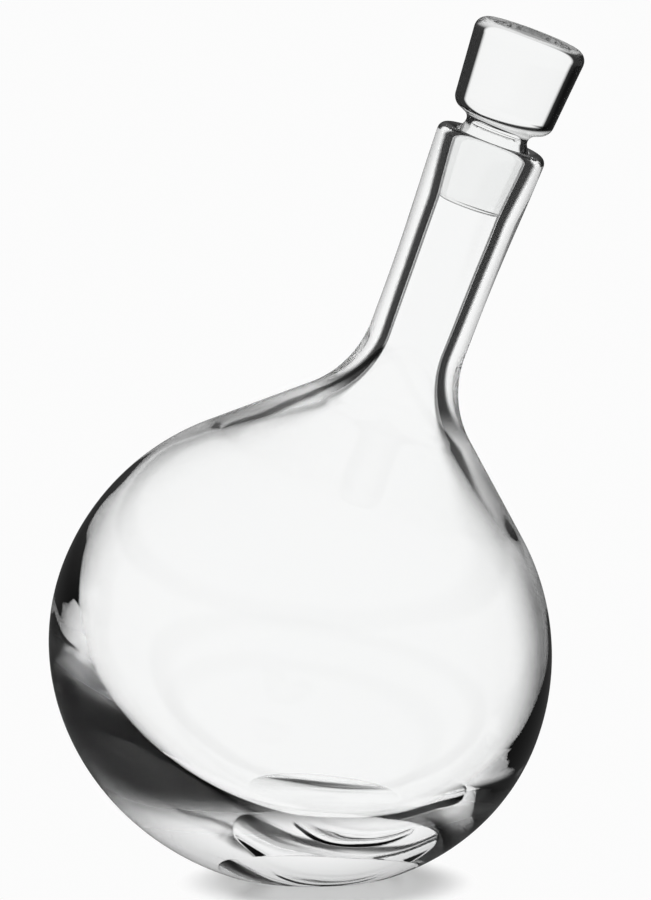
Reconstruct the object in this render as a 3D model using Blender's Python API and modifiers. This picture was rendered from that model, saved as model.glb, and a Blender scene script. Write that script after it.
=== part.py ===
"""A leaning glass decanter and its solid glass stopper, at real size in metres.

The vessel and the stopper are turned about one common axis, which leans towards +X. A flat
ground on the vessel's heavy bottom carries the whole object, and its middle is the origin.
Along the axis, heights are measured from the widest ring of the belly. The vessel is modelled
as two solids, its belly and the tube of its neck, which face each other across a hairline.
"""

import math

import bmesh
import bpy
from mathutils import Vector

# How the decanter stands.
LEAN_DEG = 20.4  # the axis leans this far from upright, towards +X
BELLY_CENTRE_HEIGHT = 0.0611  # middle of the widest ring above the table
GROUND_OVERRUN = 0.030  # how far the grinding cutter passes the glass on every side

# The outside of the vessel.
BELLY_RADIUS = 0.0708  # the widest ring
BELLY_RISE = 0.0697  # half height of the oval above the widest ring
BELLY_DROP = 0.0652  # half height of the oval below it
SHOULDER_SLOPE_DEG = 48.5  # from the axis
SHOULDER_FILLET = 0.0290  # hollow curve from shoulder to neck
NECK_RADIUS = 0.0137  # where the neck's side would meet the shoulder
MOUTH_RADIUS = 0.0157  # just under the lip
NECK_LENGTH = 0.0730  # from where the neck would meet the shoulder to the top of the lip
NECK_JOINT_HEIGHT = 0.0980  # the belly's solid ends here and the neck's starts
NECK_JOINT_GAP = 0.0003

# The walls, which give the hollow its shape.
SIDE_WALL = 0.0032  # at the widest ring
SHOULDER_WALL = 0.0022  # thinnest, where the glass was blown furthest
NECK_WALL = 0.0057  # at the foot of the neck
MOUTH_WALL = 0.0048
BASE_GLASS = 0.0144  # on the axis, before the flat is ground
HOLLOW_LIFT = 0.0070  # widest ring of the hollow above that of the outside
HOLLOW_SLOPE_DEG = 54.0  # shoulder of the hollow, from the axis
HOLLOW_FILLET = 0.0310  # curve from the hollow's shoulder to the bore

# The seat, ground tapering into the mouth of the bore for the plug.
SEAT_END_RADIUS = 0.0091  # at its lower end
SEAT_OVERRUN = 0.0008  # it runs this far on below the plug
SEAT_GAP = 0.0003  # between plug and seat

# The stopper. Its plug fits the seat, so the plug's radii come from the seat's.
PLUG_LENGTH = 0.0188
PLUG_SINK = 0.0009  # shoulder of the plug below the top of the lip
PLUG_END_ROUND = 0.0012
WAIST_DEPTH = 0.0027  # from the plug's shoulder in to where the waist's two slopes would meet
WAIST_HOLLOW = 0.0036  # radius of the hollow round the waist
HEAD_LIFT = 0.0072  # underside of the head above the plug's shoulder
HEAD_HEIGHT = 0.0250
HEAD_FOOT_RADIUS = 0.0143
HEAD_TOP_RADIUS = 0.0164
HEAD_FOOT_ROUND = 0.0038
HEAD_TOP_ROUND = 0.0034
WAIST_HEIGHT_SHARE = 0.62  # of the head's lift above the plug's shoulder

# Clear, faintly cool glass.
GLASS_TINT = (0.97, 0.98, 0.98, 1.0)
GLASS_ROUGHNESS = 0.02
GLASS_IOR = 1.52

# How finely the glass is drawn.
TURN_STEPS = 48
QUARTER_STEPS = 14  # of an oval, pole to widest ring
FILLET_STEPS = 7
ROUND_STEPS = 4
LIP_STEPS = 6

LEAN = math.radians(LEAN_DEG)
SHOULDER_SLOPE = math.radians(SHOULDER_SLOPE_DEG)
HOLLOW_SLOPE = math.radians(HOLLOW_SLOPE_DEG)
MERGE_DISTANCE = 0.0001
SMOOTH_ANGLE = math.radians(30.0)


def oval_arc(radius, half_height, middle, start, end):
    """Points (radius, height) on an oval about the axis, from one angle above its widest ring to another."""
    steps = math.ceil(QUARTER_STEPS * abs(end - start) / (math.pi / 2))
    angles = [start + (end - start) * step / steps for step in range(steps + 1)]
    return [(radius * math.cos(a), middle + half_height * math.sin(a)) for a in angles]


def half_round(left, right, height):
    """Points of the half circle that spans two radii above a height, without its ends."""
    middle, radius = (left + right) / 2, (right - left) / 2
    turns = [math.pi * (1 - step / LIP_STEPS) for step in range(1, LIP_STEPS)]
    return [(middle + radius * math.cos(turn), height + radius * math.sin(turn)) for turn in turns]


def rounded(corners, steps=ROUND_STEPS):
    """An outline through (radius, height, rounding) corners, each rounded by an arc where its rounding isn't zero."""
    outline = [corners[0][:2]]
    for before, corner, after in zip(corners, corners[1:], corners[2:]):
        here = Vector(corner[:2])
        back, ahead = Vector(before[:2]) - here, Vector(after[:2]) - here
        half_angle = back.angle(ahead) / 2
        # An arc can't use more than half of the shorter side that it joins.
        reach = min(corner[2] / math.tan(half_angle), back.length / 2, ahead.length / 2)
        if reach == 0:
            outline.append(tuple(here))
            continue
        radius = reach * math.tan(half_angle)
        middle = here + (back.normalized() + ahead.normalized()).normalized() * radius / math.sin(half_angle)
        first, last = here + back.normalized() * reach - middle, here + ahead.normalized() * reach - middle
        sweep = math.atan2(first.x * last.y - first.y * last.x, first.dot(last))
        for step in range(steps + 1):
            turn = sweep * step / steps
            x = first.x * math.cos(turn) - first.y * math.sin(turn)
            y = first.x * math.sin(turn) + first.y * math.cos(turn)
            outline.append((middle.x + x, middle.y + y))
    outline.append(corners[-1][:2])
    return outline


def shoulder_contact(radius, half_height, middle, slope):
    """The angle, and the (radius, height), at which an oval's side has this slope from the axis."""
    angle = math.atan2(half_height * math.tan(slope), radius)
    return angle, (radius * math.cos(angle), middle + half_height * math.sin(angle))


def foot_height(radius, rise, middle, slope, foot):
    """Height at which the neck's side, at radius foot, would meet the shoulder."""
    _, (contact_radius, contact_height) = shoulder_contact(radius, rise, middle, slope)
    return contact_height + (contact_radius - foot) / math.tan(slope)


def flask_side(radius, rise, drop, middle, slope, fillet, foot, mouth):
    """One side of the flask's wall, from the mouth down to the axis.

    foot is the radius where the neck would meet the shoulder, and mouth is the (radius, height)
    of the neck's upper end.
    """
    angle, contact = shoulder_contact(radius, rise, middle, slope)
    corner = (foot, foot_height(radius, rise, middle, slope, foot), fillet)
    neck = rounded([(*mouth, 0), corner, (*contact, 0)], FILLET_STEPS)
    oval_top = oval_arc(radius, rise, middle, angle, 0)
    oval_bottom = oval_arc(radius, drop, middle, 0, -math.pi / 2)
    return neck[:-1] + oval_top + oval_bottom[1:-1] + [(0, middle - drop)]


def hollow_rise():
    """Half height of the hollow's upper oval, which leaves SHOULDER_WALL at the outside's shoulder."""
    across, along = math.cos(SHOULDER_SLOPE), math.sin(SHOULDER_SLOPE)
    outside = math.hypot(BELLY_RADIUS * across, BELLY_RISE * along)
    inside = outside - SHOULDER_WALL - HOLLOW_LIFT * along
    return math.sqrt(inside**2 - (HOLLOW_RADIUS * across) ** 2) / along


HOLLOW_RADIUS = BELLY_RADIUS - SIDE_WALL
HOLLOW_RISE = hollow_rise()
HOLLOW_DROP = BELLY_DROP + HOLLOW_LIFT - BASE_GLASS
NECK_FOOT = foot_height(BELLY_RADIUS, BELLY_RISE, 0, SHOULDER_SLOPE, NECK_RADIUS)
LIP_RADIUS = MOUTH_WALL / 2  # the lip is a full round
LIP_TOP = NECK_FOOT + NECK_LENGTH
LIP_SPRING = LIP_TOP - LIP_RADIUS  # where the lip's rounding starts
BORE_RADIUS = NECK_RADIUS - NECK_WALL  # where the bore would meet the hollow's shoulder
BORE_MOUTH = MOUTH_RADIUS - MOUTH_WALL
PLUG_SHOULDER = LIP_TOP - PLUG_SINK
PLUG_END = PLUG_SHOULDER - PLUG_LENGTH
SEAT_END = PLUG_END - SEAT_OVERRUN


def outside_wall():
    """The vessel's outside, from under the lip down to the axis."""
    return flask_side(
        BELLY_RADIUS, BELLY_RISE, BELLY_DROP, 0, SHOULDER_SLOPE, SHOULDER_FILLET, NECK_RADIUS,
        (MOUTH_RADIUS, LIP_SPRING),
    )


def hollow_wall():
    """The wall of the hollow, from under the lip down to the axis."""
    return [(BORE_MOUTH, LIP_SPRING)] + flask_side(
        HOLLOW_RADIUS, HOLLOW_RISE, HOLLOW_DROP, HOLLOW_LIFT, HOLLOW_SLOPE, HOLLOW_FILLET, BORE_RADIUS,
        (SEAT_END_RADIUS, SEAT_END),
    )


def parted(wall, height):
    """A wall, given from the top down, as its part above a height and its part below."""
    first_below = next(index for index, (_, level) in enumerate(wall) if level < height)
    (upper_radius, upper), (lower_radius, lower) = wall[first_below - 1], wall[first_below]
    share = (height - lower) / (upper - lower)
    end = (lower_radius + share * (upper_radius - lower_radius), height)
    return [*wall[:first_below], end], [end, *wall[first_below:]]


def belly_outline():
    """The belly's wall, from the bottom of the hollow up to the joint and down the outside."""
    _, hollow = parted(hollow_wall(), NECK_JOINT_HEIGHT)
    _, outside = parted(outside_wall(), NECK_JOINT_HEIGHT)
    return hollow[::-1] + outside


def neck_outline():
    """The neck's wall, up the bore from the joint, over the lip and down the outside."""
    foot = NECK_JOINT_HEIGHT + NECK_JOINT_GAP
    bore, _ = parted(hollow_wall(), foot)
    outside, _ = parted(outside_wall(), foot)
    return bore[::-1] + half_round(BORE_MOUTH, MOUTH_RADIUS, LIP_SPRING) + outside


def seat_radius(height):
    """Radius of the tapered seat at a height on the axis."""
    taper = (BORE_MOUTH - SEAT_END_RADIUS) / (LIP_SPRING - SEAT_END)
    return BORE_MOUTH + (height - LIP_SPRING) * taper


def stopper_outline():
    """The stopper from the middle of its top down to the middle of its plug's end."""
    head_foot = PLUG_SHOULDER + HEAD_LIFT
    head_top = head_foot + HEAD_HEIGHT
    plug_radius = seat_radius(PLUG_SHOULDER) - SEAT_GAP
    return rounded([
        (0, head_top, 0),
        (HEAD_TOP_RADIUS, head_top, HEAD_TOP_ROUND),
        (HEAD_FOOT_RADIUS, head_foot, HEAD_FOOT_ROUND),
        (plug_radius - WAIST_DEPTH, PLUG_SHOULDER + WAIST_HEIGHT_SHARE * HEAD_LIFT, WAIST_HOLLOW),
        (plug_radius, PLUG_SHOULDER, 0),
        (seat_radius(PLUG_END) - SEAT_GAP, PLUG_END, PLUG_END_ROUND),
        (0, PLUG_END, 0),
    ])


def clear_glass(name):
    """A clear glass material."""
    material = bpy.data.materials.new(name)
    material.use_nodes = True
    shader = material.node_tree.nodes["Principled BSDF"]
    shader.inputs["Base Color"].default_value = GLASS_TINT
    shader.inputs["Roughness"].default_value = GLASS_ROUGHNESS
    shader.inputs["Metallic"].default_value = 0
    shader.inputs["Transmission Weight"].default_value = 1
    shader.inputs["IOR"].default_value = GLASS_IOR
    material.diffuse_color = GLASS_TINT
    return material


def turned(name, outline, collection, axis):
    """A glass solid turned from an outline about the leaning axis.

    An outline that doesn't start on the axis closes on itself and gives a ring.
    """
    mesh = bpy.data.meshes.new(name)
    shape = bmesh.new()
    points = [shape.verts.new((radius, 0, height)) for radius, height in outline]
    for start, end in zip(points, points[1:]):
        shape.edges.new((start, end))
    if outline[0][0] > 0:
        shape.edges.new((points[-1], points[0]))
    shape.to_mesh(mesh)
    shape.free()
    mesh.materials.append(clear_glass(f"{name}_glass"))
    solid = bpy.data.objects.new(name, mesh)
    collection.objects.link(solid)
    solid.parent = axis
    screw = solid.modifiers.new("turn", "SCREW")
    screw.axis = "Z"
    screw.angle = 2 * math.pi
    screw.steps = screw.render_steps = TURN_STEPS
    screw.use_merge_vertices = True
    screw.merge_threshold = MERGE_DISTANCE
    return solid


def flat_centre_offset():
    """How far the middle of the ground flat lies along +X from below the belly's centre.

    The flat is a slice of the oval belly, and the middles of all level slices of a leaning oval
    lie on one straight line through its centre.
    """
    across, along = BELLY_RADIUS**2, BELLY_DROP**2
    sine, cosine = math.sin(LEAN), math.cos(LEAN)
    return BELLY_CENTRE_HEIGHT * (across - along) * sine * cosine / (across * sine**2 + along * cosine**2)


def grind_flat(solid, collection):
    """Cuts the flat that the decanter stands on with a block whose upper face is the table's plane."""
    side = 2 * (BELLY_RADIUS + GROUND_OVERRUN)
    depth = BELLY_RADIUS
    mesh = bpy.data.meshes.new("ground_cutter")
    block = bmesh.new()
    bmesh.ops.create_cube(block, size=1)
    bmesh.ops.scale(block, vec=(side, side, depth), verts=block.verts)
    bmesh.ops.translate(block, vec=(0, 0, -depth / 2), verts=block.verts)
    block.to_mesh(mesh)
    block.free()
    cutter = bpy.data.objects.new("ground_cutter", mesh)
    collection.objects.link(cutter)
    cutter.hide_render = True
    cutter.display_type = "WIRE"
    grind = solid.modifiers.new("ground_flat", "BOOLEAN")
    grind.operation = "DIFFERENCE"
    grind.solver = "EXACT"
    grind.object = cutter


def new_collection(name):
    """A collection in the scene."""
    collection = bpy.data.collections.new(name)
    bpy.context.scene.collection.children.link(collection)
    return collection


def leaning_axis(collection):
    """The empty on the common axis, at the centre of the belly's widest ring, that carries every solid."""
    axis = bpy.data.objects.new("turning_axis", None)
    collection.objects.link(axis)
    axis.location = (-flat_centre_offset(), 0, BELLY_CENTRE_HEIGHT)
    axis.rotation_euler = (0, LEAN, 0)
    return axis


def finish(solid):
    """Turns the modified shape into the object's own mesh, smooth but for its real edges."""
    evaluated = solid.evaluated_get(bpy.context.evaluated_depsgraph_get())
    outline = solid.data
    solid.data = bpy.data.meshes.new_from_object(evaluated)
    solid.modifiers.clear()
    solid.data.name = outline.name
    bpy.data.meshes.remove(outline)
    solid.data.shade_smooth()
    solid.data.set_sharp_from_angle(angle=SMOOTH_ANGLE)


def build():
    """Clears the scene and models the decanter and its stopper."""
    for old in list(bpy.data.objects):
        bpy.data.objects.remove(old, do_unlink=True)
    parts, cutters = new_collection("decanter"), new_collection("cutters")
    axis = leaning_axis(parts)

    belly = turned("decanter_belly", belly_outline(), parts, axis)
    grind_flat(belly, cutters)
    neck = turned("decanter_neck", neck_outline(), parts, axis)
    stopper = turned("stopper", stopper_outline(), parts, axis)
    for solid in (belly, neck, stopper):
        finish(solid)


build()
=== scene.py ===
"""The leaning glass decanter and its stopper, turned finely and set in a bright studio.

Lengths are metres and angles radians, where no name says otherwise. A turned piece is drawn as an
outline of (radius, height) points about the leaning axis, whose heights are measured from the
widest ring of the belly, and a Geometry Nodes tree turns that outline into its surface.
"""

import logging
import math
from dataclasses import dataclass, field
from enum import Enum

import bmesh
import bpy
import numpy as np
from mathutils import Matrix, Vector


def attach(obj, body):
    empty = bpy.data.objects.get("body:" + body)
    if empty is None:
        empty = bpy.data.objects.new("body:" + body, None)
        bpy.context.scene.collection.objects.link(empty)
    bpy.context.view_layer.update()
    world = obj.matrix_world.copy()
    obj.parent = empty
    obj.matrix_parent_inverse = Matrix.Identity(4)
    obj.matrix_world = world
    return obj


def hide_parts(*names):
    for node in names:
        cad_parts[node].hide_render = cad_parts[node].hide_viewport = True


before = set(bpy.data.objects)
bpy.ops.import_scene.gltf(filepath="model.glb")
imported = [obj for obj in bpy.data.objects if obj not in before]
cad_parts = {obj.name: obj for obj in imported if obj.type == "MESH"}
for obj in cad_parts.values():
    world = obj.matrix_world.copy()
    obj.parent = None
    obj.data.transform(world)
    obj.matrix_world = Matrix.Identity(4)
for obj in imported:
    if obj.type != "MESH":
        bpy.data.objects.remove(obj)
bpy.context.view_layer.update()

MERGE_DISTANCE = 2e-7
LEAST_ARC_STEPS = 8
QUARTER_TURN = math.pi / 2
FULL_TURN = 2 * math.pi
# Where the Mix node keeps its two colours and their mixture.
MIX_FIRST, MIX_SECOND, MIX_RESULT = 6, 7, 2
# Layer Weight falls off evenly at this blend.
EVEN_BLEND = 0.5

Point = tuple[float, float]
Outline = list[Point]
Span = tuple[float, float]
Colour = tuple[float, float, float]
Socket = bpy.types.NodeSocket

log = logging.getLogger("decanter")


class Body(Enum):
    """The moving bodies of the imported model."""

    VESSEL = "vessel"
    STOPPER = "stopper"


class Slot(Enum):
    """The record's material slots."""

    VESSEL = "vessel_glass"
    STOPPER = "stopper_glass"


class Mark(Enum):
    """The marks on the points of the glass, each from 0 to 1, which its material reads.

    They tell the outside, what is blown and not ground, the hollow's wall that has thick glass
    behind it, and its wall within the neck. All but the blown mark tell where painted shade
    darkens the glass.
    """

    PAINTED_RIM = "outside"
    BLOWN = "blown"
    PAINTED_THROW = "thick"
    PAINTED_GRAZE = "bore"


class Sums(Enum):
    """The maths nodes, by the numbers that they take."""

    PLAIN = "ShaderNodeMath"
    WHOLE = "FunctionNodeIntegerMath"


# ---------------------------------------------------------------- outlines


def arc_steps(sweep: float, radius: float, spacing: float) -> int:
    """How many steps an arc takes, so that none is longer than the spacing."""
    return max(LEAST_ARC_STEPS, math.ceil(abs(sweep) * radius / spacing))


def oval(
    radius: float, half_height: float, middle: float, start: float, end: float, steps: int
) -> Outline:
    """Points on an oval about the axis.

    Args:
        radius: Half width of the oval.
        half_height: Its half height.
        middle: Height of its widest ring.
        start: Angle above the widest ring of the first point.
        end: Angle of the last point.
        steps: Number of steps between them.

    Returns:
        The points, from start to end.
    """
    return [
        (float(radius * math.cos(angle)), float(middle + half_height * math.sin(angle)))
        for angle in np.linspace(start, end, steps + 1)
    ]


def rounded(corners: list[tuple[float, float, float]], spacing: float) -> Outline:
    """An outline through corners, each rounded by an arc.

    Args:
        corners: (radius, height, rounding) of each corner. The first and last aren't rounded.
        spacing: The longest step along an arc.

    Returns:
        The outline's points.
    """
    outline = [corners[0][:2]]
    for before, corner, after in zip(corners, corners[1:], corners[2:]):
        here = Vector(corner[:2])
        back, ahead = Vector(before[:2]) - here, Vector(after[:2]) - here
        half_angle = back.angle(ahead) / 2
        reach = min(corner[2] / math.tan(half_angle), back.length / 2, ahead.length / 2)
        if reach == 0:
            outline.append(tuple(here))
            continue
        back.normalize()
        ahead.normalize()
        radius = reach * math.tan(half_angle)
        middle = here + (back + ahead).normalized() * radius / math.sin(half_angle)
        first, last = here + back * reach - middle, here + ahead * reach - middle
        sweep = math.atan2(first.x * last.y - first.y * last.x, first.dot(last))
        for turn in np.linspace(0, sweep, arc_steps(sweep, radius, spacing) + 1):
            x = first.x * math.cos(turn) - first.y * math.sin(turn)
            y = first.x * math.sin(turn) + first.y * math.cos(turn)
            outline.append((float(middle.x + x), float(middle.y + y)))
    outline.append(corners[-1][:2])
    return outline


def spaced(outline: Outline, longest: float) -> Outline:
    """The outline with long straight runs divided.

    Args:
        outline: The points.
        longest: The longest step that is left.

    Returns:
        The outline with points added.
    """
    result = [outline[0]]
    for start, end in zip(outline, outline[1:]):
        parts = max(1, math.ceil(math.dist(start, end) / longest))
        for part in range(1, parts + 1):
            share = part / parts
            radius, height = (low + (high - low) * share for low, high in zip(start, end))
            result.append((radius, height))
    return result


@dataclass(frozen=True)
class Flask:
    """The upper part of a flask: half an oval, and the neck that rises from its shoulder.

    Attributes:
        radius: Radius of the widest ring.
        rise: Half height of the oval above it.
        middle: Height of that ring.
        slope: Slope of the shoulder, from the axis.
        fillet: Radius of the curve from shoulder to neck.
        neck: Radius where the neck would meet the shoulder.
    """

    radius: float
    rise: float
    middle: float
    slope: float
    fillet: float
    neck: float

    @property
    def contact_angle(self) -> float:
        """Angle above the widest ring at which the oval has the shoulder's slope."""
        return math.atan2(self.rise * math.tan(self.slope), self.radius)

    @property
    def contact(self) -> Point:
        """The point of the oval at that angle."""
        angle = self.contact_angle
        return self.radius * math.cos(angle), self.middle + self.rise * math.sin(angle)

    @property
    def neck_foot(self) -> float:
        """Height where the neck would meet the shoulder."""
        radius, height = self.contact
        return height + (radius - self.neck) / math.tan(self.slope)

    def side(self, top: Point, steps: int, spacing: float, longest: float) -> Outline:
        """One side of its wall, from the neck down to the widest ring.

        Args:
            top: The upper end of the neck's side.
            steps: Number of steps in a quarter of the oval.
            spacing: The longest step along the fillet.
            longest: The longest step along the neck.

        Returns:
            The points, from the top down.
        """
        corners = [(*top, 0), (self.neck, self.neck_foot, self.fillet), (*self.contact, 0)]
        neck = spaced(rounded(corners, spacing)[:-1], longest)
        angle = self.contact_angle
        oval_steps = math.ceil(steps * angle / QUARTER_TURN)
        return neck + oval(self.radius, self.rise, self.middle, angle, 0, oval_steps)


@dataclass(frozen=True)
class Ramp:
    """A soft step from 0 to 1, between two values."""

    start: float
    end: float

    def at(self, value: np.ndarray) -> np.ndarray:
        """0 before start, 1 after end and smooth between them."""
        share = np.clip((value - self.start) / (self.end - self.start), 0, 1)
        return share * share * (3 - 2 * share)


# ---------------------------------------------------------------- turning


def reckoned(
    tree: bpy.types.NodeTree, operation: str, *values: Socket | float, sums: Sums = Sums.PLAIN
) -> Socket:
    """Adds a maths node.

    Args:
        tree: The tree that it goes into.
        operation: What it does with its values.
        *values: A socket or a number for each of its inputs.
        sums: The kind of maths node.

    Returns:
        Its output.
    """
    node = tree.nodes.new(sums.value)
    node.operation = operation
    for socket, value in zip(node.inputs, values):
        if isinstance(value, Socket):
            tree.links.new(value, socket)
        else:
            socket.default_value = value
    return node.outputs[0]


@dataclass
class Lathe:
    """The Geometry Nodes tree that turns an outline about the leaning axis."""

    lean: float
    foot: Vector
    tree: bpy.types.NodeTree = field(init=False)
    sockets: dict[str, str] = field(init=False, default_factory=dict)

    def __post_init__(self) -> None:
        """Builds the tree once, for every piece."""
        self.tree = bpy.data.node_groups.new("turn_about_axis", "GeometryNodeTree")
        self._name_inputs()
        self._wire()

    def _name_inputs(self) -> None:
        """Gives the tree its named inputs and its output."""
        face = self.tree.interface
        kinds = {
            "Outline": "NodeSocketGeometry",
            "Steps": "NodeSocketInt",
            "Lean": "NodeSocketFloat",
            "Foot": "NodeSocketVector",
            "Finish": "NodeSocketMaterial",
        }
        for name, kind in kinds.items():
            socket = face.new_socket(name, in_out="INPUT", socket_type=kind)
            self.sockets[name] = socket.identifier
        face.new_socket("Turned", in_out="OUTPUT", socket_type="NodeSocketGeometry")

    def _wire(self) -> None:
        """Adds the nodes: a grid, in which each row is a point of the outline, turned."""
        nodes, link = self.tree.nodes, self.tree.links.new
        given = nodes.new("NodeGroupInput")
        count = nodes.new("GeometryNodeAttributeDomainSize")
        link(given.outputs["Outline"], count.inputs["Geometry"])
        columns = reckoned(self.tree, "ADD", given.outputs["Steps"], 1, sums=Sums.WHOLE)
        grid = nodes.new("GeometryNodeMeshGrid")
        link(count.outputs["Point Count"], grid.inputs["Vertices X"])
        link(columns, grid.inputs["Vertices Y"])
        place = nodes.new("GeometryNodeSetPosition")
        link(grid.outputs["Mesh"], place.inputs["Geometry"])
        link(self._turned(given, columns), place.inputs["Position"])
        stood = self._stood(given, place.outputs["Geometry"])
        link(stood, nodes.new("NodeGroupOutput").inputs[0])

    def _turned(self, given: bpy.types.Node, columns: Socket) -> Socket:
        """Finds where the grid's points go about an upright axis.

        Args:
            given: The tree's inputs.
            columns: How many columns the grid has.

        Returns:
            The place of each point.
        """
        nodes, link = self.tree.nodes, self.tree.links.new
        index = nodes.new("GeometryNodeInputIndex").outputs[0]
        row = reckoned(self.tree, "DIVIDE_FLOOR", index, columns, sums=Sums.WHOLE)
        column = reckoned(self.tree, "MODULO", index, columns, sums=Sums.WHOLE)
        sample = nodes.new("GeometryNodeSampleIndex")
        sample.data_type = "FLOAT_VECTOR"
        link(given.outputs["Outline"], sample.inputs["Geometry"])
        link(nodes.new("GeometryNodeInputPosition").outputs[0], sample.inputs["Value"])
        link(row, sample.inputs["Index"])
        share = reckoned(self.tree, "DIVIDE", column, given.outputs["Steps"])
        turn = nodes.new("ShaderNodeVectorRotate")
        turn.rotation_type = "Z_AXIS"
        link(sample.outputs["Value"], turn.inputs["Vector"])
        link(reckoned(self.tree, "MULTIPLY", share, FULL_TURN), turn.inputs["Angle"])
        return turn.outputs["Vector"]

    def _stood(self, given: bpy.types.Node, turned: Socket) -> Socket:
        """Leans the surface, puts it in its place and dresses it.

        Args:
            given: The tree's inputs.
            turned: The surface, about an upright axis.

        Returns:
            The surface where it stands.
        """
        nodes, link = self.tree.nodes, self.tree.links.new
        tilt = nodes.new("ShaderNodeCombineXYZ")
        link(given.outputs["Lean"], tilt.inputs["Y"])
        stand = nodes.new("GeometryNodeTransform")
        link(turned, stand.inputs["Geometry"])
        link(given.outputs["Foot"], stand.inputs["Translation"])
        link(tilt.outputs["Vector"], stand.inputs["Rotation"])
        whole = nodes.new("GeometryNodeRealizeInstances")
        link(stand.outputs["Geometry"], whole.inputs["Geometry"])
        dress = nodes.new("GeometryNodeSetMaterial")
        link(whole.outputs["Geometry"], dress.inputs["Geometry"])
        link(given.outputs["Finish"], dress.inputs["Material"])
        return dress.outputs["Geometry"]

    def turn(
        self, name: str, outline: Outline, steps: int, finish: bpy.types.Material
    ) -> bpy.types.Object:
        """Turns an outline into a mesh.

        Args:
            name: The piece's name.
            outline: Its (radius, height) points.
            steps: How many steps make a full turn.
            finish: The piece's material.

        Returns:
            The object. Its points are in rows of steps + 1, a row for each point of the outline.
        """
        line = bpy.data.meshes.new(f"{name}_outline")
        line.from_pydata([(radius, 0, height) for radius, height in outline], [], [])
        piece = bpy.data.objects.new(name, line)
        bpy.context.scene.collection.objects.link(piece)
        turning = piece.modifiers.new("turn", "NODES")
        turning.node_group = self.tree
        turning[self.sockets["Steps"]] = steps
        turning[self.sockets["Lean"]] = self.lean
        turning[self.sockets["Foot"]] = tuple(self.foot)
        turning[self.sockets["Finish"]] = finish
        evaluated = piece.evaluated_get(bpy.context.evaluated_depsgraph_get())
        piece.data = bpy.data.meshes.new_from_object(evaluated)
        piece.modifiers.remove(turning)
        piece.data.name = name
        bpy.data.meshes.remove(line)
        return piece


def points_of(piece: bpy.types.Object, columns: int) -> np.ndarray:
    """Reads the points of a turned piece.

    Args:
        piece: The piece, in rows.
        columns: How many points a row has.

    Returns:
        The points by row and column.
    """
    points = np.empty(len(piece.data.vertices) * 3)
    piece.data.vertices.foreach_get("co", points)
    return points.reshape(-1, columns, 3)


def put_mark(piece: bpy.types.Object, mark: Mark, levels: np.ndarray) -> None:
    """Marks a turned piece.

    Args:
        piece: The piece, in rows.
        mark: The mark.
        levels: Its value on each row, or on each point.
    """
    columns = len(piece.data.vertices) // len(levels)
    made = piece.data.attributes.new(mark.value, "FLOAT", "POINT")
    made.data.foreach_set("value", np.repeat(levels, columns).astype(np.float32))


def close_up(piece: bpy.types.Object) -> None:
    """Merges the seam and the poles of a turned piece, points its faces outwards and smooths it.

    Args:
        piece: The piece.
    """
    shape = bmesh.new()
    shape.from_mesh(piece.data)
    bmesh.ops.remove_doubles(shape, verts=shape.verts, dist=MERGE_DISTANCE)
    bmesh.ops.dissolve_degenerate(shape, edges=shape.edges, dist=MERGE_DISTANCE)
    bmesh.ops.recalc_face_normals(shape, faces=shape.faces)
    shape.to_mesh(piece.data)
    shape.free()
    piece.data.shade_smooth()


# ---------------------------------------------------------------- glass


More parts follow.
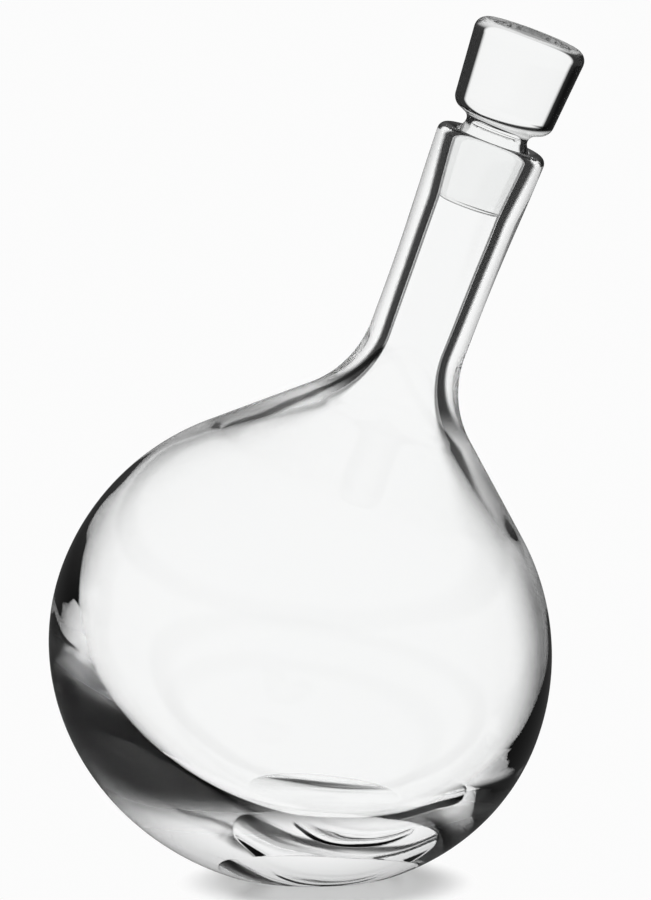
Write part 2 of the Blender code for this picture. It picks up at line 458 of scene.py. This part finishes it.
@dataclass(frozen=True)
class Glass:
    """Clear glass, faintly wavy from the blowing, with painted shade that makes it darker where it
    is met edge on.

    Spans are of Layer Weight, which gives 0 for a face met straight on and 1 for one met edge on,
    and top is of how far the normal points up or down.

    Attributes:
        name: The material's name.
        clear: The glass's own colour where it is clearest.
        cloudy: Its colour where it is least clear.
        cloud_scale: How close together those places are.
        cloud_detail: How uneven they are.
        wave_scale: How close together the waves are.
        wave_detail: How uneven they are.
        wave_depth: How deep they are.
        index_of_refraction: How strongly the glass bends light.
        face_on_gloss: How strong its reflections are where it is met straight on.
        rim: Where painted shade darkens the outside towards its edges.
        painted_rim_depth: How dark that painted shade gets.
        painted_rim_on_top: The share of it which is left on a face that looks up or down.
        top: Where a face comes to look up or down.
        painted_throw_start: Where the hollow's wall starts to throw all light back into thick
            glass, and where its painted shade starts.
        painted_throw_end: Where what it throws back is light again, and that painted shade ends.
        painted_throw_depth: How dark that painted shade gets between them.
        painted_graze_span: Where painted shade darkens the bore's wall, met from within the bore.
        painted_graze_depth: How dark that painted shade gets.
        painted_shade_fall: How fast a wall darkened by painted shade also loses its own colour, so
            that it isn't milky.
    """

    name: str
    clear: Colour = (0.978, 0.978, 0.978)
    cloudy: Colour = (0.958, 0.965, 0.963)
    cloud_scale: float = 9.0
    cloud_detail: float = 2.0
    wave_scale: float = 30.0
    wave_detail: float = 1.0
    wave_depth: float = 0.00040
    index_of_refraction: float = 1.52
    face_on_gloss: float = 0.4
    rim: Span = (0.43, 0.72)
    painted_rim_depth: float = 0.90
    painted_rim_on_top: float = 0.3
    top: Span = (0.25, 0.75)
    painted_throw_start: Span = (0.244, 0.248)
    painted_throw_end: Span = (0.36, 0.48)
    painted_throw_depth: float = 0.98
    painted_graze_span: Span = (0.58, 0.74)
    painted_graze_depth: float = 0.9
    painted_shade_fall: float = 4.0

    def material(self) -> bpy.types.Material:
        """Makes the glass.

        Returns:
            The node material.
        """
        made = bpy.data.materials.new(self.name)
        made.use_nodes = True
        tree = made.node_tree
        inputs = tree.nodes["Principled BSDF"].inputs
        inputs["Roughness"].default_value = 0
        inputs["Metallic"].default_value = 0
        inputs["IOR"].default_value = self.index_of_refraction
        inputs["Specular Tint"].default_value = (*(self.face_on_gloss,) * 3, 1)
        # Painted shade: Layer Weight and the marks dim the glass's colour and what it lets
        # through.
        facing = self._facing(tree)
        painted_let_through = reckoned(tree, "SUBTRACT", 1, self._painted_wall_shade(tree, facing))
        painted_colour_level = reckoned(tree, "POWER", painted_let_through, self.painted_shade_fall)
        colour = self._tinted(tree, self._own_colour(tree), painted_colour_level)
        colour = self._tinted(tree, colour, self._painted_rim_level(tree, facing))
        tree.links.new(painted_let_through, inputs["Transmission Weight"])
        tree.links.new(colour, inputs["Base Color"])
        tree.links.new(self._wavy(tree), inputs["Normal"])
        return made

    def _own_colour(self, tree: bpy.types.NodeTree) -> Socket:
        """The glass's own colour, a little uneven.

        Args:
            tree: The material's nodes.

        Returns:
            The colour.
        """
        body = tree.nodes.new("ShaderNodeMix")
        body.data_type = "RGBA"
        clouds = self._noise(tree, self.cloud_scale, self.cloud_detail)
        tree.links.new(clouds, body.inputs["Factor"])
        body.inputs[MIX_FIRST].default_value = (*self.clear, 1)
        body.inputs[MIX_SECOND].default_value = (*self.cloudy, 1)
        return body.outputs[MIX_RESULT]

    def _wavy(self, tree: bpy.types.NodeTree) -> Socket:
        """The surface's faint waves, where it was blown and not ground.

        Args:
            tree: The material's nodes.

        Returns:
            The normal.
        """
        bump = tree.nodes.new("ShaderNodeBump")
        bump.inputs["Distance"].default_value = self.wave_depth
        tree.links.new(self._mark(tree, Mark.BLOWN), bump.inputs["Strength"])
        waves = self._noise(tree, self.wave_scale, self.wave_detail)
        tree.links.new(waves, bump.inputs["Height"])
        return bump.outputs["Normal"]

    def _painted_rim_level(self, tree: bpy.types.NodeTree, facing: Socket) -> Socket:
        """The level that the outside's painted dark rim leaves, for the angle that it is met at.

        Args:
            tree: The material's nodes.
            facing: That angle, from Layer Weight.

        Returns:
            The level.
        """
        side = tree.nodes.new("ShaderNodeSeparateXYZ")
        normal = tree.nodes.new("ShaderNodeTexCoord").outputs["Normal"]
        tree.links.new(normal, side.inputs[0])
        steep = reckoned(tree, "ABSOLUTE", side.outputs["Z"])
        on_top = self._ramp(tree, steep, self.top, 1, self.painted_rim_on_top)
        # The painted dark rim, weaker on faces that look up or down, and only where the mark has
        # it.
        rim = self._ramp(tree, facing, self.rim, 0, self.painted_rim_depth)
        rim = reckoned(tree, "MULTIPLY", rim, on_top)
        rim = reckoned(tree, "MULTIPLY", rim, self._mark(tree, Mark.PAINTED_RIM))
        return reckoned(tree, "SUBTRACT", 1, rim)

    def _painted_wall_shade(self, tree: bpy.types.NodeTree, facing: Socket) -> Socket:
        """The painted shade of the hollow's wall, for the angle that it is met at.

        Args:
            tree: The material's nodes.
            facing: That angle, from Layer Weight.

        Returns:
            The painted shade, which differs from within the glass and from within the hollow.
        """
        # Painted shade where the wall throws light back into thick glass, and where the bore's
        # wall is grazed.
        start = self._ramp(tree, facing, self.painted_throw_start, 0, self.painted_throw_depth)
        end = self._ramp(tree, facing, self.painted_throw_end, 1, 0)
        painted_throw_shade = reckoned(tree, "MULTIPLY", start, end)
        painted_throw_shade = reckoned(tree, "MULTIPLY", painted_throw_shade, self._mark(tree, Mark.PAINTED_THROW))
        painted_graze_shade = self._ramp(tree, facing, self.painted_graze_span, 0, self.painted_graze_depth)
        painted_graze_shade = reckoned(tree, "MULTIPLY", painted_graze_shade, self._mark(tree, Mark.PAINTED_GRAZE))
        within_glass = tree.nodes.new("ShaderNodeNewGeometry").outputs["Backfacing"]
        choice = tree.nodes.new("ShaderNodeMix")
        tree.links.new(within_glass, choice.inputs["Factor"])
        tree.links.new(painted_graze_shade, choice.inputs["A"])
        tree.links.new(painted_throw_shade, choice.inputs["B"])
        return choice.outputs["Result"]

    @staticmethod
    def _facing(tree: bpy.types.NodeTree) -> Socket:
        """The angle that the glass is met at.

        Args:
            tree: The material's nodes.

        Returns:
            From 0, met straight on, to 1, met edge on.
        """
        weight = tree.nodes.new("ShaderNodeLayerWeight")
        weight.inputs["Blend"].default_value = EVEN_BLEND
        return weight.outputs["Facing"]

    @staticmethod
    def _noise(tree: bpy.types.NodeTree, scale: float, detail: float) -> Socket:
        """Soft noise through the glass.

        Args:
            tree: The material's nodes.
            scale: How close together its places are.
            detail: How uneven they are.

        Returns:
            The noise.
        """
        noise = tree.nodes.new("ShaderNodeTexNoise")
        noise.inputs["Scale"].default_value = scale
        noise.inputs["Detail"].default_value = detail
        place = tree.nodes.new("ShaderNodeTexCoord").outputs["Object"]
        tree.links.new(place, noise.inputs["Vector"])
        return noise.outputs["Fac"]

    @staticmethod
    def _tinted(tree: bpy.types.NodeTree, colour: Socket, level: Socket) -> Socket:
        """A colour made darker.

        Args:
            tree: The material's nodes.
            colour: The colour.
            level: The share of it that is left.

        Returns:
            Their product.
        """
        product = tree.nodes.new("ShaderNodeVectorMath")
        product.operation = "SCALE"
        tree.links.new(colour, product.inputs[0])
        tree.links.new(level, product.inputs["Scale"])
        return product.outputs[0]

    @staticmethod
    def _mark(tree: bpy.types.NodeTree, mark: Mark) -> Socket:
        """Reads a mark of the piece.

        Args:
            tree: The material's nodes.
            mark: The mark.

        Returns:
            Its level, which is 0 on a piece that doesn't have it.
        """
        reader = tree.nodes.new("ShaderNodeAttribute")
        reader.attribute_name = mark.value
        return reader.outputs["Fac"]

    @staticmethod
    def _ramp(
        tree: bpy.types.NodeTree, value: Socket, between: Span, low: float, high: float
    ) -> Socket:
        """A soft step of a value.

        Args:
            tree: The material's nodes.
            value: The value.
            between: Where the step starts and ends.
            low: The level before it.
            high: The level after it.

        Returns:
            The level.
        """
        step = tree.nodes.new("ShaderNodeMapRange")
        step.interpolation_type = "SMOOTHSTEP"
        names = ("From Min", "From Max", "To Min", "To Max")
        for name, level in zip(names, (*between, low, high)):
            step.inputs[name].default_value = level
        tree.links.new(value, step.inputs["Value"])
        return step.outputs["Result"]


VESSEL_GLASS = Glass("vessel_clear_glass")
STOPPER_GLASS = Glass(
    "stopper_clear_glass",
    clear=(0.950, 0.950, 0.950),
    cloudy=(0.920, 0.930, 0.925),
    wave_depth=0.00003,
    # Its painted dark rim starts sooner and goes almost black.
    rim=(0.35, 0.43),
    painted_rim_depth=0.999,
    top=(0.50, 0.90),
)


# ---------------------------------------------------------------- the vessel


@dataclass
class Vessel:
    """The belly, ground flat underneath, and the neck with its lip and its hollow."""

    # The outside. The slope is measured from the axis.
    lean: float = math.radians(20.4)
    centre_height: float = 0.0611
    belly_radius: float = 0.0708
    belly_rise: float = 0.0697
    belly_drop: float = 0.0652
    shoulder_slope: float = math.radians(48.5)
    shoulder_fillet: float = 0.0290
    neck_radius: float = 0.0137
    mouth_radius: float = 0.0157
    neck_length: float = 0.0730
    neck_sag: float = 0.0005
    edge_round: float = 0.0007

    # The hollow, whose widest ring is a little above the belly's.
    side_wall: float = 0.0032
    shoulder_wall: float = 0.0022
    neck_wall: float = 0.0057
    mouth_wall: float = 0.0048
    base_glass: float = 0.0144
    hollow_lift: float = 0.0070
    hollow_slope: float = math.radians(54.0)
    hollow_fillet: float = 0.0310
    seat_end_radius: float = 0.0091
    seat_end_depth: float = 0.0205

    # Where painted shade darkens the glass: by the wall's thickness, the height above the floor
    # and the height on the axis. The outside of the neck keeps only a share of its painted dark
    # rim.
    painted_throw_by_wall: Ramp = Ramp(0.0061, 0.0083)
    painted_throw_over_flat: Ramp = Ramp(0.022, 0.033)
    painted_bore_start: Ramp = Ramp(0.064, 0.078)
    neck_painted_rim_share: float = 0.45

    # How finely it is turned.
    quarter_steps: int = 60
    lip_steps: int = 16
    edge_rows: int = 8
    flat_rows: int = 10
    turn_steps: int = 192
    arc_spacing: float = 0.0011
    longest_step: float = 0.0030

    @property
    def outer(self) -> Flask:
        """The outside above the widest ring.

        Returns:
            Its form, without the lip.
        """
        return Flask(
            radius=self.belly_radius,
            rise=self.belly_rise,
            middle=0,
            slope=self.shoulder_slope,
            fillet=self.shoulder_fillet,
            neck=self.neck_radius,
        )

    @property
    def lip_top(self) -> float:
        """Height of the top of the lip."""
        return self.outer.neck_foot + self.neck_length

    @property
    def lip_spring(self) -> float:
        """Height where the rounding of the lip starts."""
        return self.lip_top - self.mouth_wall / 2

    @property
    def bore_mouth(self) -> float:
        """Radius of the bore under the lip."""
        return self.mouth_radius - self.mouth_wall

    @property
    def columns(self) -> int:
        """How many points a row has. The last stands on the first."""
        return self.turn_steps + 1

    @property
    def foot(self) -> Vector:
        """Where the centre of the belly's widest ring stands.

        Returns:
            Its place, from the middle of the ground flat.
        """
        across, along = self.belly_radius**2, self.belly_drop**2
        sine, cosine = math.sin(self.lean), math.cos(self.lean)
        offset = self.centre_height * (across - along) * sine * cosine
        offset /= across * sine**2 + along * cosine**2
        return Vector((-offset, 0, self.centre_height))

    def _outside(self) -> Outline:
        """The outside down to the widest ring, with the neck drawn in a little half way up.

        Returns:
            The points, from the lip down.
        """
        top = (self.mouth_radius, self.lip_spring)
        foot = self.outer.neck_foot
        result = []
        for radius, height in self._side(self.outer, top):
            share = min(max((height - foot) / (self.lip_spring - foot), 0), 1)
            result.append((radius - self.neck_sag * math.sin(math.pi * share) ** 2, height))
        return result

    def _hollow(self) -> Outline:
        """The hollow's wall.

        Returns:
            The points, from its bottom on the axis up to the lip.
        """
        radius = self.belly_radius - self.side_wall
        across, along = math.cos(self.shoulder_slope), math.sin(self.shoulder_slope)
        outside = math.hypot(self.belly_radius * across, self.belly_rise * along)
        inside = outside - self.shoulder_wall - self.hollow_lift * along
        form = Flask(
            radius=radius,
            rise=math.sqrt(inside**2 - (radius * across) ** 2) / along,
            middle=self.hollow_lift,
            slope=self.hollow_slope,
            fillet=self.hollow_fillet,
            neck=self.neck_radius - self.neck_wall,
        )
        seat_end = (self.seat_end_radius, self.lip_top - self.seat_end_depth)
        seat = spaced([(self.bore_mouth, self.lip_spring), seat_end], self.longest_step)
        drop = self.belly_drop + self.hollow_lift - self.base_glass
        lower = oval(radius, drop, self.hollow_lift, 0, -QUARTER_TURN, self.quarter_steps)
        lower[-1] = (0.0, self.hollow_lift - drop)
        return (seat[:-1] + self._side(form, seat_end) + lower[1:])[::-1]

    def _side(self, form: Flask, top: Point) -> Outline:
        """One side of a wall, from the upper end of the neck's side down to the widest ring."""
        return form.side(top, self.quarter_steps, self.arc_spacing, self.longest_step)

    def _lip(self) -> Outline:
        """The full round of the lip.

        Returns:
            The points from the bore to the outside, without the round's ends.
        """
        middle, radius = (self.bore_mouth + self.mouth_radius) / 2, self.mouth_wall / 2
        half_round = oval(radius, radius, self.lip_spring, math.pi, 0, self.lip_steps)[1:-1]
        return [(middle + across, height) for across, height in half_round]

    def build(self, lathe: Lathe, finish: bpy.types.Material) -> bpy.types.Object:
        """Turns the vessel and grinds its flat.

        Args:
            lathe: The turning tree.
            finish: The glass.

        Returns:
            The finished piece.
        """
        inside, upper = self._hollow() + self._lip(), self._outside()
        rows = self.quarter_steps + self.edge_rows + self.flat_rows
        lower = oval(self.belly_radius, self.belly_drop, 0, 0, -QUARTER_TURN, rows)[1:]
        piece = lathe.turn("decanter_vessel", inside + upper + lower, self.turn_steps, finish)
        self._grind(piece, len(inside + upper))
        self._mark_up(piece, inside, upper, lower)
        close_up(piece)
        return piece

    def _mark_up(
        self, piece: bpy.types.Object, inside: Outline, upper: Outline, lower: Outline
    ) -> None:
        """Marks where the glass is wavy and where painted shade darkens it.

        Args:
            piece: The turned vessel, in rows.
            inside: The hollow's outline, with the lip.
            upper: The outside's outline down to the widest ring.
            lower: The rest of it.
        """
        # The painted dark rim: none inside, full outside but for a share on the neck.
        neck = 1 - (1 - self.neck_painted_rim_share) * self.painted_bore_start.at(np.array(upper)[:, 1])
        dark = np.concatenate([np.zeros(len(inside)), neck, np.ones(len(lower))])
        put_mark(piece, Mark.PAINTED_RIM, dark)
        ground = self.edge_rows + self.flat_rows
        put_mark(piece, Mark.BLOWN, np.repeat([1, 0], [len(dark) - ground, ground]))
        # The painted shade of the bore's wall within the neck.
        bore = self.painted_bore_start.at(np.array(inside)[:, 1])
        bore = np.concatenate([bore, np.zeros(len(upper + lower))])
        put_mark(piece, Mark.PAINTED_GRAZE, bore)
        # The painted shade of the hollow's wall over thick base glass.
        base = self._painted_throw_levels(piece, inside, upper + lower)
        put_mark(piece, Mark.PAINTED_THROW, np.maximum(np.repeat(bore, self.columns), base))

    def _painted_throw_levels(self, piece: bpy.types.Object, inside: Outline, outside: Outline) -> np.ndarray:
        """How much painted shade each point of the hollow's wall takes, where it throws light into
        thick base glass.

        There is none over the ground flat, whose light comes up from the floor.

        Args:
            piece: The turned vessel, in rows.
            inside: The hollow's outline, with the lip.
            outside: The outside's outline.

        Returns:
            The level of each point, from 0 to 1. The outside has 0.
        """
        inner, outer = np.array(inside), np.array(outside)
        walls = np.linalg.norm(inner[:, None] - outer[None], axis=2).min(axis=1)
        under_ring = inner[:, 1] < 0
        rows = np.concatenate([self.painted_throw_by_wall.at(walls) * under_ring, np.zeros(len(outer))])
        heights = points_of(piece, self.columns)[:, :, 2]
        return (rows[:, None] * self.painted_throw_over_flat.at(heights)).ravel()

    def _grind(self, piece: bpy.types.Object, first_row: int) -> None:
        """Draws the rows under the widest ring again, so that they end in the ground flat.

        Each column follows the oval down to a softened edge, and then the flat to its middle.

        Args:
            piece: The turned vessel, in rows.
            first_row: The first row under the widest ring.
        """
        points = points_of(piece, self.columns)
        turns = np.linspace(0, FULL_TURN, self.columns)
        across = self.belly_radius * math.sin(self.lean) * np.cos(turns)
        along = self.belly_drop * math.cos(self.lean)
        flat = np.arccos(self.centre_height / np.hypot(across, along))
        rim = np.arctan2(along, across) - flat
        pace = np.hypot(self.belly_radius * np.sin(rim), self.belly_drop * np.cos(rim))
        last = rim - self.edge_round / pace
        start, edge = self._on_belly(last, turns), self._on_belly(rim, turns)
        end = edge * (1 - self.edge_round / np.linalg.norm(edge, axis=1))[:, None]
        for row in range(self.quarter_steps):
            angle = last * (row + 1) / self.quarter_steps
            points[first_row + row] = self._on_belly(angle, turns)
        first_row += self.quarter_steps
        for row in range(self.edge_rows):
            share = (row + 1) / self.edge_rows
            bend = (1 - share) ** 2 * start + 2 * share * (1 - share) * edge + share**2 * end
            points[first_row + row] = bend
        first_row += self.edge_rows
        for row in range(self.flat_rows):
            points[first_row + row] = end * (1 - (row + 1) / self.flat_rows)
        piece.data.vertices.foreach_set("co", points.ravel())
        piece.data.update()

    def _on_belly(self, angle: np.ndarray, turns: np.ndarray) -> np.ndarray:
        """Points on the lower belly.

        Args:
            angle: The angle under the widest ring, for each column.
            turns: The turn about the axis of each column.

        Returns:
            A row of points where they stand.
        """
        sine, cosine = math.sin(self.lean), math.cos(self.lean)
        reach = self.belly_radius * np.cos(angle)
        depth = -self.belly_drop * np.sin(angle)
        out, side = reach * np.cos(turns), reach * np.sin(turns)
        place = np.stack([out * cosine + depth * sine, side, depth * cosine - out * sine], 1)
        return place + np.array(self.foot)


# ---------------------------------------------------------------- the stopper


@dataclass
class Stopper:
    """The solid stopper: its tapered plug, its waist and its flared head."""

    vessel: Vessel

    # The plug, which sinks a little below the lip.
    plug_length: float = 0.0188
    plug_sink: float = 0.0009
    plug_end_round: float = 0.0012
    shoulder_round: float = 0.0004
    seat_gap: float = 0.0003

    # The waist, narrowest at a share of the way up to the head.
    waist_depth: float = 0.0027
    waist_hollow: float = 0.0036
    waist_height_share: float = 0.62

    # The head.
    head_lift: float = 0.0072
    head_height: float = 0.0250
    head_foot_radius: float = 0.0143
    head_top_radius: float = 0.0164
    head_foot_round: float = 0.0038
    head_top_round: float = 0.0034

    # The plug keeps only a share of its painted dark rim.
    plug_painted_rim_share: float = 0.2

    # How finely it is turned.
    turn_steps: int = 144
    arc_spacing: float = 0.00035
    longest_step: float = 0.0016

    def _seat_radius(self, height: float) -> float:
        """Radius of the vessel's seat.

        Args:
            height: The height on the axis.

        Returns:
            The radius there.
        """
        vessel = self.vessel
        depth = vessel.lip_spring - (vessel.lip_top - vessel.seat_end_depth)
        taper = (vessel.bore_mouth - vessel.seat_end_radius) / depth
        return vessel.bore_mouth + (height - vessel.lip_spring) * taper

    def build(self, lathe: Lathe, finish: bpy.types.Material) -> bpy.types.Object:
        """Turns the stopper.

        Args:
            lathe: The turning tree.
            finish: The glass.

        Returns:
            The finished piece.
        """
        shoulder = self.vessel.lip_top - self.plug_sink
        waist = shoulder + self.waist_height_share * self.head_lift
        plug_end = shoulder - self.plug_length
        head_foot = shoulder + self.head_lift
        head_top = head_foot + self.head_height
        plug = self._seat_radius(shoulder) - self.seat_gap
        corners = [
            (0, head_top, 0),
            (self.head_top_radius, head_top, self.head_top_round),
            (self.head_foot_radius, head_foot, self.head_foot_round),
            (plug - self.waist_depth, waist, self.waist_hollow),
            (plug, shoulder, self.shoulder_round),
            (self._seat_radius(plug_end) - self.seat_gap, plug_end, self.plug_end_round),
            (0, plug_end, 0),
        ]
        outline = spaced(rounded(corners, self.arc_spacing), self.longest_step)
        piece = lathe.turn("decanter_stopper", outline, self.turn_steps, finish)
        # The painted dark rim: full on the head and waist, a share on the plug.
        dark = [1 if height > shoulder else self.plug_painted_rim_share for _, height in outline]
        put_mark(piece, Mark.PAINTED_RIM, np.array(dark))
        put_mark(piece, Mark.BLOWN, np.ones(len(outline)))
        close_up(piece)
        return piece


# ---------------------------------------------------------------- the studio


@dataclass
class Camera:
    """The camera, where the picture was taken from.

    Half_view is half the picture's height at the point aimed at, and the sensor is in millimetres.
    """

    distance: float = 2.230
    height: float = 0.474
    aim: tuple[float, float, float] = (0.00379, 0.0, 0.118677)
    half_view: float = 0.12545
    sensor: float = 36.0
    sight_end: float = 100.0

    def build(self) -> bpy.types.Object:
        """Makes the scene's camera.

        Returns:
            The camera.
        """
        lens = bpy.data.cameras.new("camera")
        camera = bpy.data.objects.new("camera", lens)
        bpy.context.scene.collection.objects.link(camera)
        camera.location = (0, -self.distance, self.height)
        sight = Vector(self.aim) - camera.location
        camera.rotation_euler = sight.to_track_quat("-Z", "Y").to_euler()
        lens.sensor_width = self.sensor
        lens.lens = self.sensor / 2 * sight.length / self.half_view
        lens.clip_end = self.sight_end
        bpy.context.scene.camera = camera
        bpy.context.view_layer.update()
        return camera


@dataclass
class Surround:
    """The light all round the set, the same on every side. It changes only with the height.

    The camera and the floor see it white. What the glass lets through is white too, but for a dark
    band overhead, and what its outside mirrors is dim, as where only the backdrop is lit.

    Attributes:
        white: The plain level.
        seen_through: (degrees above the horizon, level) of what the glass lets through.
        mirrored: The same for what it mirrors.
    """

    white: float = 0.97
    seen_through: tuple[Point, ...] = ((13, 1.0), (18, 0.01), (24, 0.01), (32, 1.0))
    mirrored: tuple[Point, ...] = ((0, 0.06), (30, 0.40))

    def build(self) -> None:
        """Makes the world."""
        world = bpy.data.worlds.new("studio")
        world.use_nodes = True
        tree = world.node_tree
        way = tree.nodes.new("ShaderNodeSeparateXYZ")
        seen = tree.nodes.new("ShaderNodeTexCoord").outputs["Generated"]
        tree.links.new(seen, way.inputs[0])
        rise = reckoned(tree, "ARCSINE", way.outputs["Z"])
        share = reckoned(tree, "MULTIPLY_ADD", rise, 1 / math.pi, self._share(0))
        path = tree.nodes.new("ShaderNodeLightPath").outputs
        mirrored = self._stops(tree, share, self.mirrored)
        seen_through = self._stops(tree, share, self.seen_through)
        level = self._mix(tree, path["Is Glossy Ray"], self.white, mirrored)
        level = self._mix(tree, path["Is Transmission Ray"], level, seen_through)
        background = tree.nodes["Background"].inputs
        tree.links.new(level, background["Strength"])
        background["Color"].default_value = (1, 1, 1, 1)
        bpy.context.scene.world = world

    @staticmethod
    def _share(degrees: float) -> float:
        """The share of the way from straight down to straight up that an elevation is at."""
        return degrees / 180 + 0.5

    def _stops(self, tree: bpy.types.NodeTree, share: Socket, stops: tuple[Point, ...]) -> Socket:
        """A ramp through levels.

        Args:
            tree: The world's nodes.
            share: The share of the way from straight down to straight up.
            stops: Degrees above the horizon, and the level there.

        Returns:
            The level.
        """
        ramp = tree.nodes.new("ShaderNodeValToRGB")
        ramp.color_ramp.interpolation = "EASE"
        marks = ramp.color_ramp.elements
        marks[0].position, marks[-1].position = self._share(stops[0][0]), self._share(stops[-1][0])
        for degrees, _ in stops[1:-1]:
            marks.new(self._share(degrees))
        for mark, (_, level) in zip(marks, stops):
            mark.color = (level, level, level, 1)
        tree.links.new(share, ramp.inputs[0])
        return ramp.outputs["Color"]

    @staticmethod
    def _mix(
        tree: bpy.types.NodeTree, factor: Socket, first: Socket | float, second: Socket
    ) -> Socket:
        """A mix of two levels.

        Args:
            tree: The world's nodes.
            factor: The share of the second.
            first: The first level, a socket or a number.
            second: The second level.

        Returns:
            The level.
        """
        mix = tree.nodes.new("ShaderNodeMix")
        tree.links.new(factor, mix.inputs["Factor"])
        if isinstance(first, Socket):
            tree.links.new(first, mix.inputs["A"])
        else:
            mix.inputs["A"].default_value = first
        tree.links.new(second, mix.inputs["B"])
        return mix.outputs["Result"]


@dataclass
class Studio:
    """The pale floor, which takes shade near the decanter and is painted grey there as a painted
    shadow, and is plain white away from it.
    """

    floor_radius: float = 12.0
    floor_sides: int = 128
    floor_drop: float = 0.00005

    # Its paint near the decanter, grey as a painted shadow, which fades to white with the distance
    # from painted_shadow_middle.
    white: float = 0.97
    floor_roughness: float = 0.25
    floor_specular: float = 0.3
    painted_shadow_grey: float = 0.60
    painted_shadow_middle: tuple[float, float, float] = (0.004, -0.020, 0.0)
    painted_shadow_fade_start: float = 0.026
    painted_shadow_fade_end: float = 0.042

    def floor(self) -> bpy.types.Object:
        """Lays the floor.

        Returns:
            The floor, which the glass neither mirrors nor lets through.
        """
        mesh = bpy.data.meshes.new("floor")
        shape = bmesh.new()
        bmesh.ops.create_circle(
            shape, cap_ends=True, segments=self.floor_sides, radius=self.floor_radius
        )
        shape.to_mesh(mesh)
        shape.free()
        mesh.transform(Matrix.Translation((0, 0, -self.floor_drop)))
        mesh.materials.append(self._paint())
        floor = bpy.data.objects.new("floor", mesh)
        bpy.context.scene.collection.objects.link(floor)
        floor.visible_transmission = floor.visible_glossy = False
        return floor

    def _paint(self) -> bpy.types.Material:
        """The floor's pale, faintly glossy paint, grey near the decanter as a painted shadow.

        Returns:
            The node material.
        """
        paint = bpy.data.materials.new("floor_with_painted_shadow")
        paint.use_nodes = True
        nodes, link = paint.node_tree.nodes, paint.node_tree.links.new
        shader = nodes["Principled BSDF"]
        # The grey base colour is the painted shadow; away from it plain white emission takes over.
        shader.inputs["Base Color"].default_value = (*(self.painted_shadow_grey,) * 3, 1)
        shader.inputs["Roughness"].default_value = self.floor_roughness
        shader.inputs["Specular IOR Level"].default_value = self.floor_specular
        reach = nodes.new("ShaderNodeVectorMath")
        reach.operation = "DISTANCE"
        reach.inputs[1].default_value = self.painted_shadow_middle
        link(nodes.new("ShaderNodeTexCoord").outputs["Object"], reach.inputs[0])
        painted_shadow_fade = nodes.new("ShaderNodeMapRange")
        painted_shadow_fade.interpolation_type = "SMOOTHSTEP"
        painted_shadow_fade.inputs["From Min"].default_value = self.painted_shadow_fade_start
        painted_shadow_fade.inputs["From Max"].default_value = self.painted_shadow_fade_end
        link(reach.outputs["Value"], painted_shadow_fade.inputs["Value"])
        lamp = nodes.new("ShaderNodeEmission")
        lamp.inputs["Strength"].default_value = self.white
        mix = nodes.new("ShaderNodeMixShader")
        link(painted_shadow_fade.outputs["Result"], mix.inputs[0])
        link(shader.outputs["BSDF"], mix.inputs[1])
        link(lamp.outputs["Emission"], mix.inputs[2])
        link(mix.outputs["Shader"], nodes["Material Output"].inputs["Surface"])
        return paint


@dataclass
class LightPaths:
    """How far light is followed through the many glass walls.

    Fewer glossy bounces leave the light that is caught within a wall dark.
    """

    bounces: int = 24
    glossy_bounces: int = 12

    def set_up(self) -> None:
        """Sets the limits, and keeps colours as they are written."""
        scene = bpy.context.scene
        scene.view_settings.view_transform = "Standard"
        scene.cycles.max_bounces = self.bounces
        scene.cycles.transmission_bounces = self.bounces
        scene.cycles.transparent_max_bounces = self.bounces
        scene.cycles.glossy_bounces = self.glossy_bounces
        scene.cycles.blur_glossy = 0


def hand_over(piece: bpy.types.Object, body: Body, slot: Slot, *nodes: str) -> None:
    """Puts a finished piece in the place of its CAD nodes.

    Args:
        piece: The piece.
        body: The body that it moves with.
        slot: The material slot that it stands for. Not used.
        *nodes: The CAD nodes that it replaces.
    """
    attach(piece, body.value)
    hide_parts(*nodes)
    log.info("%s: %d vertices, rides on %s", piece.name, len(piece.data.vertices), body.value)


def main() -> None:
    """Builds the decanter and its studio."""
    vessel = Vessel()
    lathe = Lathe(vessel.lean, vessel.foot)
    vessel_piece = vessel.build(lathe, VESSEL_GLASS.material())
    hand_over(vessel_piece, Body.VESSEL, Slot.VESSEL, "decanter_belly", "decanter_neck")
    stopper_piece = Stopper(vessel).build(lathe, STOPPER_GLASS.material())
    hand_over(stopper_piece, Body.STOPPER, Slot.STOPPER, "stopper")
    Camera().build()
    Surround().build()
    Studio().floor()
    LightPaths().set_up()


if __name__ == "__main__":
    logging.basicConfig(level=logging.INFO)
    main()
